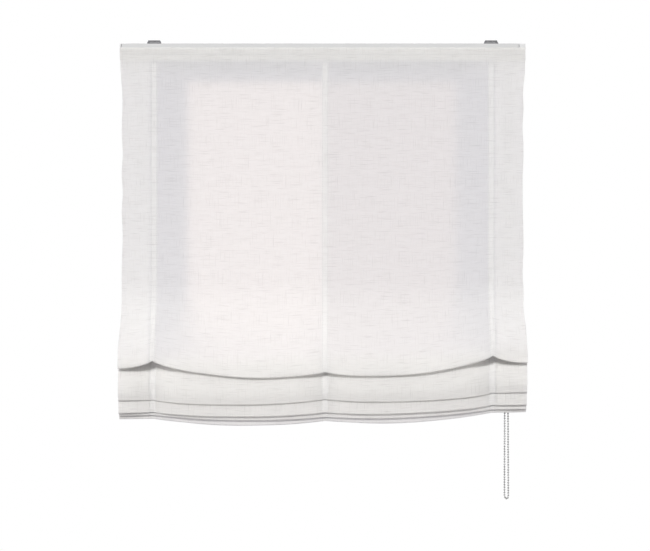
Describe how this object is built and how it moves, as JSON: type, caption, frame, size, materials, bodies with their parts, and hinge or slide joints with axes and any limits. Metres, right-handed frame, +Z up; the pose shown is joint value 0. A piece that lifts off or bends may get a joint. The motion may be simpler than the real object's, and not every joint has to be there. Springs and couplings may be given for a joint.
{
  "type": "roman blind",
  "caption": "Sheer roman blind on a white head rail, partly raised in soft folds by cords on drums that a ball chain turns.",
  "frame": {"origin": "midway between the two ceiling screw holes, on the top faces of the clips", "axes": "+X along the rail to the right as seen from the room, +Y to the back, +Z up"},
  "size_m": [0.95, 0.0858, 1.0776],
  "materials": {
    "coated_rail": "satin powder coat",
    "spring_steel": "bright zinc",
    "white_plastic": "moulded",
    "clear_plastic": "smooth",
    "bar_aluminium": "mill",
    "sheer_linen": "sheer slub weave",
    "woven_tape": "plain weave",
    "braided_cord": "braid",
    "strip_pile": "hook and loop",
    "nickel_chain": "nickel"
  },
  "bodies": {
    "head": {"headrail": "coated_rail", "ceiling_clip_left": "spring_steel", "ceiling_clip_right": "spring_steel", "end_cap": "white_plastic", "control_housing": "white_plastic", "control_cover": "white_plastic", "drum_cradle_left": "white_plastic", "drum_cradle_centre": "white_plastic", "drum_cradle_right": "white_plastic", "hook_strip": "strip_pile", "loop_strip": "strip_pile", "fabric": "sheer_linen", "tape_left": "woven_tape", "tape_centre": "woven_tape", "tape_right": "woven_tape", "lift_cord_left": "braided_cord", "lift_cord_centre": "braided_cord", "lift_cord_right": "braided_cord", "panel_rings": "clear_plastic", "bead_chain": "nickel_chain", "chain_connector": "clear_plastic"},
    "drive": {"chain_sprocket": "white_plastic", "output_hub": "white_plastic", "wrap_springs": "spring_steel", "drive_shaft": "spring_steel", "shaft_bush": "white_plastic", "cord_drum_left": "white_plastic", "cord_drum_centre": "white_plastic", "cord_drum_right": "white_plastic", "wound_cords": "braided_cord"},
    "lower_end": {"stack_rings": "clear_plastic", "cord_stops": "clear_plastic", "weight_bar": "bar_aluminium", "bar_end_caps": "white_plastic"}
  },
  "joints": [
    {"name": "raise", "type": "slide", "parent": "head", "child": "lower_end", "axis": [0, 0, 1], "range_m": [-1.1471, 0.5982], "deforming": ["fabric", "tape_left", "tape_centre", "tape_right", "lift_cord_left", "lift_cord_centre", "lift_cord_right", "panel_rings"]},
    {"name": "shaft_turn", "type": "hinge", "parent": "head", "child": "drive", "pos_m": [0, 0, -0.0295], "axis": [1, 0, 0], "range_deg": [-3080, 5900], "deforming": ["bead_chain"]}
  ],
  "couplings": [
    {"joint": "shaft_turn", "follows": "raise", "rad_per_m": -89.286}
  ]
}
